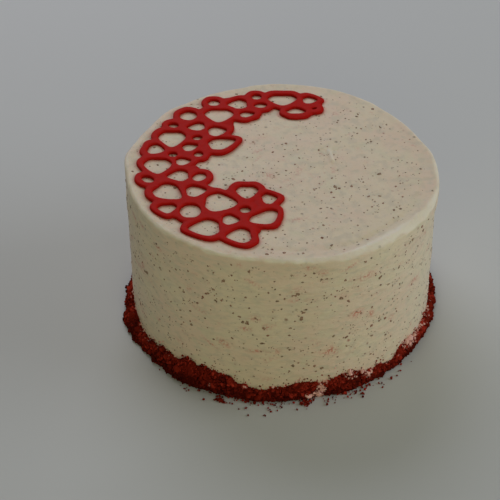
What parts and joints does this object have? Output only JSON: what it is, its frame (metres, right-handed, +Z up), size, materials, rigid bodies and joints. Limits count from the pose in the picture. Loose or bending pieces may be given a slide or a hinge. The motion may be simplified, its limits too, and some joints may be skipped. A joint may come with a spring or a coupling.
{
  "type": "red velvet layer cake",
  "caption": "Small round iced cake with a soft rim, a band of red crumbs round its foot and a crescent of piped hearts on its top.",
  "frame": {"origin": "centre of the outline on the surface that the cake stands on", "axes": "+Z up; the front, where most of the hearts lie to the left, faces -Y; +X is the viewer's right"},
  "size_m": [0.1702, 0.1687, 0.0924],
  "materials": {
    "icing": "cream cheese icing, soft satin, spread by spatula and full of fine dark and red specks",
    "crumbs": "dry and open crumbs of dark red sponge",
    "red_piping": "set red piping, smooth with a soft shine"
  },
  "bodies": {
    "root": {"iced_cake": "icing", "crumb_band": "crumbs", "heart_lattice": "red_piping"}
  },
  "joints": []
}
